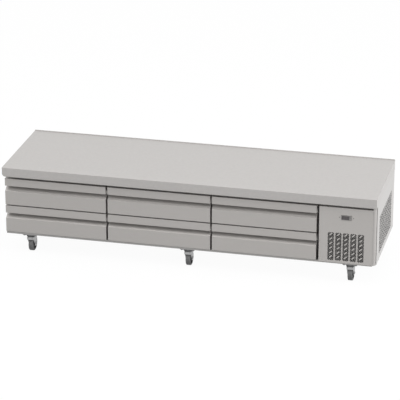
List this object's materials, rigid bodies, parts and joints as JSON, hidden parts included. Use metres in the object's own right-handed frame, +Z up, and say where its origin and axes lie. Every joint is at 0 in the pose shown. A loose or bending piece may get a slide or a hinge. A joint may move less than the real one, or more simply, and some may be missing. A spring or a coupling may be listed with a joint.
{
  "type": "refrigerated chef base",
  "caption": "Low refrigerated chef base: steel worktop over pull-out pan drawers with full-width finger pulls, a perforated machine bay at the right and swivel casters.",
  "frame": {"origin": "on the floor under the middle of the worktop", "axes": "+X along the front to the right as seen from the front, +Y to the back, +Z up"},
  "size_m": [2.438, 0.722, 0.6],
  "materials": {
    "worktop_steel": "satin",
    "front_steel": "satin",
    "side_steel": "satin",
    "frame_steel": "satin",
    "shell_steel": "satin",
    "liner_steel": "satin",
    "rail_steel": "satin",
    "slide_steel": "satin",
    "foam_board": "matte",
    "zinc_plate": "satin",
    "caster_tyre": "matte",
    "gasket_rubber": "matte",
    "bezel_plastic": "satin",
    "display_window": "gloss",
    "key_plastic": "satin",
    "screw_steel": "satin",
    "coil_fins": "satin",
    "motor_paint": "satin",
    "compressor_paint": "gloss",
    "copper_pipe": "satin",
    "fan_sheet": "satin",
    "fan_plastic": "matte",
    "housing_sheet": "satin",
    "gland_plastic": "matte"
  },
  "bodies": {
    "cabinet": {"worktop": "worktop_steel", "insulation": "foam_board", "cabinet_shell": "shell_steel", "cabinet_liner": "liner_steel", "face_frame": "frame_steel", "service_panel": "front_steel", "side_panel": "side_steel", "underframe": "rail_steel", "caster_plates": "zinc_plate", "slide_channels": "slide_steel", "controller_bezel": "bezel_plastic", "controller_display": "display_window", "panel_screws": "screw_steel", "condenser_coil": "coil_fins", "condenser_fan_motor": "motor_paint", "compressor": "compressor_paint", "refrigerant_lines": "copper_pipe", "evaporator_coil": "coil_fins", "evaporator_housing": "housing_sheet", "power_inlet": "gland_plastic"},
    "upper_left_drawer": {"upper_left_drawer_front": "front_steel", "upper_left_drawer_gasket": "gasket_rubber", "upper_left_drawer_frame": "liner_steel"},
    "upper_left_slides": {"upper_left_drawer_slides": "slide_steel"},
    "lower_left_drawer": {"lower_left_drawer_front": "front_steel", "lower_left_drawer_gasket": "gasket_rubber", "lower_left_drawer_frame": "liner_steel"},
    "lower_left_slides": {"lower_left_drawer_slides": "slide_steel"},
    "upper_middle_drawer": {"upper_middle_drawer_front": "front_steel", "upper_middle_drawer_gasket": "gasket_rubber", "upper_middle_drawer_frame": "liner_steel"},
    "upper_middle_slides": {"upper_middle_drawer_slides": "slide_steel"},
    "lower_middle_drawer": {"lower_middle_drawer_front": "front_steel", "lower_middle_drawer_gasket": "gasket_rubber", "lower_middle_drawer_frame": "liner_steel"},
    "lower_middle_slides": {"lower_middle_drawer_slides": "slide_steel"},
    "upper_right_drawer": {"upper_right_drawer_front": "front_steel", "upper_right_drawer_gasket": "gasket_rubber", "upper_right_drawer_frame": "liner_steel"},
    "upper_right_slides": {"upper_right_drawer_slides": "slide_steel"},
    "lower_right_drawer": {"lower_right_drawer_front": "front_steel", "lower_right_drawer_gasket": "gasket_rubber", "lower_right_drawer_frame": "liner_steel"},
    "lower_right_slides": {"lower_right_drawer_slides": "slide_steel"},
    "front_left_caster_fork": {"front_left_caster_fork": "zinc_plate"},
    "front_left_caster_wheel": {"front_left_caster_wheel": "caster_tyre"},
    "front_middle_caster_fork": {"front_middle_caster_fork": "zinc_plate"},
    "front_middle_caster_wheel": {"front_middle_caster_wheel": "caster_tyre"},
    "front_right_caster_fork": {"front_right_caster_fork": "zinc_plate"},
    "front_right_caster_wheel": {"front_right_caster_wheel": "caster_tyre"},
    "rear_left_caster_fork": {"rear_left_caster_fork": "zinc_plate"},
    "rear_left_caster_wheel": {"rear_left_caster_wheel": "caster_tyre"},
    "rear_middle_caster_fork": {"rear_middle_caster_fork": "zinc_plate"},
    "rear_middle_caster_wheel": {"rear_middle_caster_wheel": "caster_tyre"},
    "rear_right_caster_fork": {"rear_right_caster_fork": "zinc_plate"},
    "rear_right_caster_wheel": {"rear_right_caster_wheel": "caster_tyre"},
    "condenser_fan": {"condenser_fan": "fan_sheet"},
    "evaporator_fan": {"evaporator_fan": "fan_plastic"},
    "controller_key_up": {"controller_key_up": "key_plastic"},
    "controller_key_down": {"controller_key_down": "key_plastic"}
  },
  "joints": [
    {"name": "upper_left_drawer_slide", "type": "slide", "parent": "cabinet", "child": "upper_left_drawer", "axis": [0, -1, 0], "range_m": [0, 0.46]},
    {"name": "upper_left_slides_extend", "type": "slide", "parent": "cabinet", "child": "upper_left_slides", "axis": [0, -1, 0], "range_m": [0, 0.23]},
    {"name": "lower_left_drawer_slide", "type": "slide", "parent": "cabinet", "child": "lower_left_drawer", "axis": [0, -1, 0], "range_m": [0, 0.46]},
    {"name": "lower_left_slides_extend", "type": "slide", "parent": "cabinet", "child": "lower_left_slides", "axis": [0, -1, 0], "range_m": [0, 0.23]},
    {"name": "upper_middle_drawer_slide", "type": "slide", "parent": "cabinet", "child": "upper_middle_drawer", "axis": [0, -1, 0], "range_m": [0, 0.46]},
    {"name": "upper_middle_slides_extend", "type": "slide", "parent": "cabinet", "child": "upper_middle_slides", "axis": [0, -1, 0], "range_m": [0, 0.23]},
    {"name": "lower_middle_drawer_slide", "type": "slide", "parent": "cabinet", "child": "lower_middle_drawer", "axis": [0, -1, 0], "range_m": [0, 0.46]},
    {"name": "lower_middle_slides_extend", "type": "slide", "parent": "cabinet", "child": "lower_middle_slides", "axis": [0, -1, 0], "range_m": [0, 0.23]},
    {"name": "upper_right_drawer_slide", "type": "slide", "parent": "cabinet", "child": "upper_right_drawer", "axis": [0, -1, 0], "range_m": [0, 0.46]},
    {"name": "upper_right_slides_extend", "type": "slide", "parent": "cabinet", "child": "upper_right_slides", "axis": [0, -1, 0], "range_m": [0, 0.23]},
    {"name": "lower_right_drawer_slide", "type": "slide", "parent": "cabinet", "child": "lower_right_drawer", "axis": [0, -1, 0], "range_m": [0, 0.46]},
    {"name": "lower_right_slides_extend", "type": "slide", "parent": "cabinet", "child": "lower_right_slides", "axis": [0, -1, 0], "range_m": [0, 0.23]},
    {"name": "front_left_caster_swivel", "type": "hinge", "parent": "cabinet", "child": "front_left_caster_fork", "pos_m": [-1.053, -0.2945, 0.13], "axis": [0, 0, 1], "continuous": true},
    {"name": "front_left_caster_roll", "type": "hinge", "parent": "front_left_caster_fork", "child": "front_left_caster_wheel", "pos_m": [-1.053, -0.2655, 0.05], "axis": [1, 0, 0], "continuous": true},
    {"name": "front_middle_caster_swivel", "type": "hinge", "parent": "cabinet", "child": "front_middle_caster_fork", "pos_m": [0, -0.2945, 0.13], "axis": [0, 0, 1], "continuous": true},
    {"name": "front_middle_caster_roll", "type": "hinge", "parent": "front_middle_caster_fork", "child": "front_middle_caster_wheel", "pos_m": [0, -0.2655, 0.05], "axis": [1, 0, 0], "continuous": true},
    {"name": "front_right_caster_swivel", "type": "hinge", "parent": "cabinet", "child": "front_right_caster_fork", "pos_m": [1.053, -0.2945, 0.13], "axis": [0, 0, 1], "continuous": true},
    {"name": "front_right_caster_roll", "type": "hinge", "parent": "front_right_caster_fork", "child": "front_right_caster_wheel", "pos_m": [1.053, -0.2655, 0.05], "axis": [1, 0, 0], "continuous": true},
    {"name": "rear_left_caster_swivel", "type": "hinge", "parent": "cabinet", "child": "rear_left_caster_fork", "pos_m": [-1.053, 0.3105, 0.13], "axis": [0, 0, 1], "continuous": true},
    {"name": "rear_left_caster_roll", "type": "hinge", "parent": "rear_left_caster_fork", "child": "rear_left_caster_wheel", "pos_m": [-1.053, 0.2815, 0.05], "axis": [1, 0, 0], "continuous": true},
    {"name": "rear_middle_caster_swivel", "type": "hinge", "parent": "cabinet", "child": "rear_middle_caster_fork", "pos_m": [0, 0.3105, 0.13], "axis": [0, 0, 1], "continuous": true},
    {"name": "rear_middle_caster_roll", "type": "hinge", "parent": "rear_middle_caster_fork", "child": "rear_middle_caster_wheel", "pos_m": [0, 0.2815, 0.05], "axis": [1, 0, 0], "continuous": true},
    {"name": "rear_right_caster_swivel", "type": "hinge", "parent": "cabinet", "child": "rear_right_caster_fork", "pos_m": [1.053, 0.3105, 0.13], "axis": [0, 0, 1], "continuous": true},
    {"name": "rear_right_caster_roll", "type": "hinge", "parent": "rear_right_caster_fork", "child": "rear_right_caster_wheel", "pos_m": [1.053, 0.2815, 0.05], "axis": [1, 0, 0], "continuous": true},
    {"name": "condenser_fan_spin", "type": "hinge", "parent": "cabinet", "child": "condenser_fan", "pos_m": [1.02715, -0.2395, 0.2957], "axis": [0, 1, 0], "continuous": true},
    {"name": "evaporator_fan_spin", "type": "hinge", "parent": "cabinet", "child": "evaporator_fan", "pos_m": [0.49975, 0.2628, 0.3452], "axis": [0, 1, 0], "continuous": true},
    {"name": "key_up_press", "type": "slide", "parent": "cabinet", "child": "controller_key_up", "axis": [0, 1, 0], "range_m": [0, 0.0008], "stiffness_N_per_m": 1500},
    {"name": "key_down_press", "type": "slide", "parent": "cabinet", "child": "controller_key_down", "axis": [0, 1, 0], "range_m": [0, 0.0008], "stiffness_N_per_m": 1500}
  ],
  "couplings": [
    {"joint": "upper_left_slides_extend", "follows": "upper_left_drawer_slide", "ratio": 0.5},
    {"joint": "lower_left_slides_extend", "follows": "lower_left_drawer_slide", "ratio": 0.5},
    {"joint": "upper_middle_slides_extend", "follows": "upper_middle_drawer_slide", "ratio": 0.5},
    {"joint": "lower_middle_slides_extend", "follows": "lower_middle_drawer_slide", "ratio": 0.5},
    {"joint": "upper_right_slides_extend", "follows": "upper_right_drawer_slide", "ratio": 0.5},
    {"joint": "lower_right_slides_extend", "follows": "lower_right_drawer_slide", "ratio": 0.5}
  ]
}
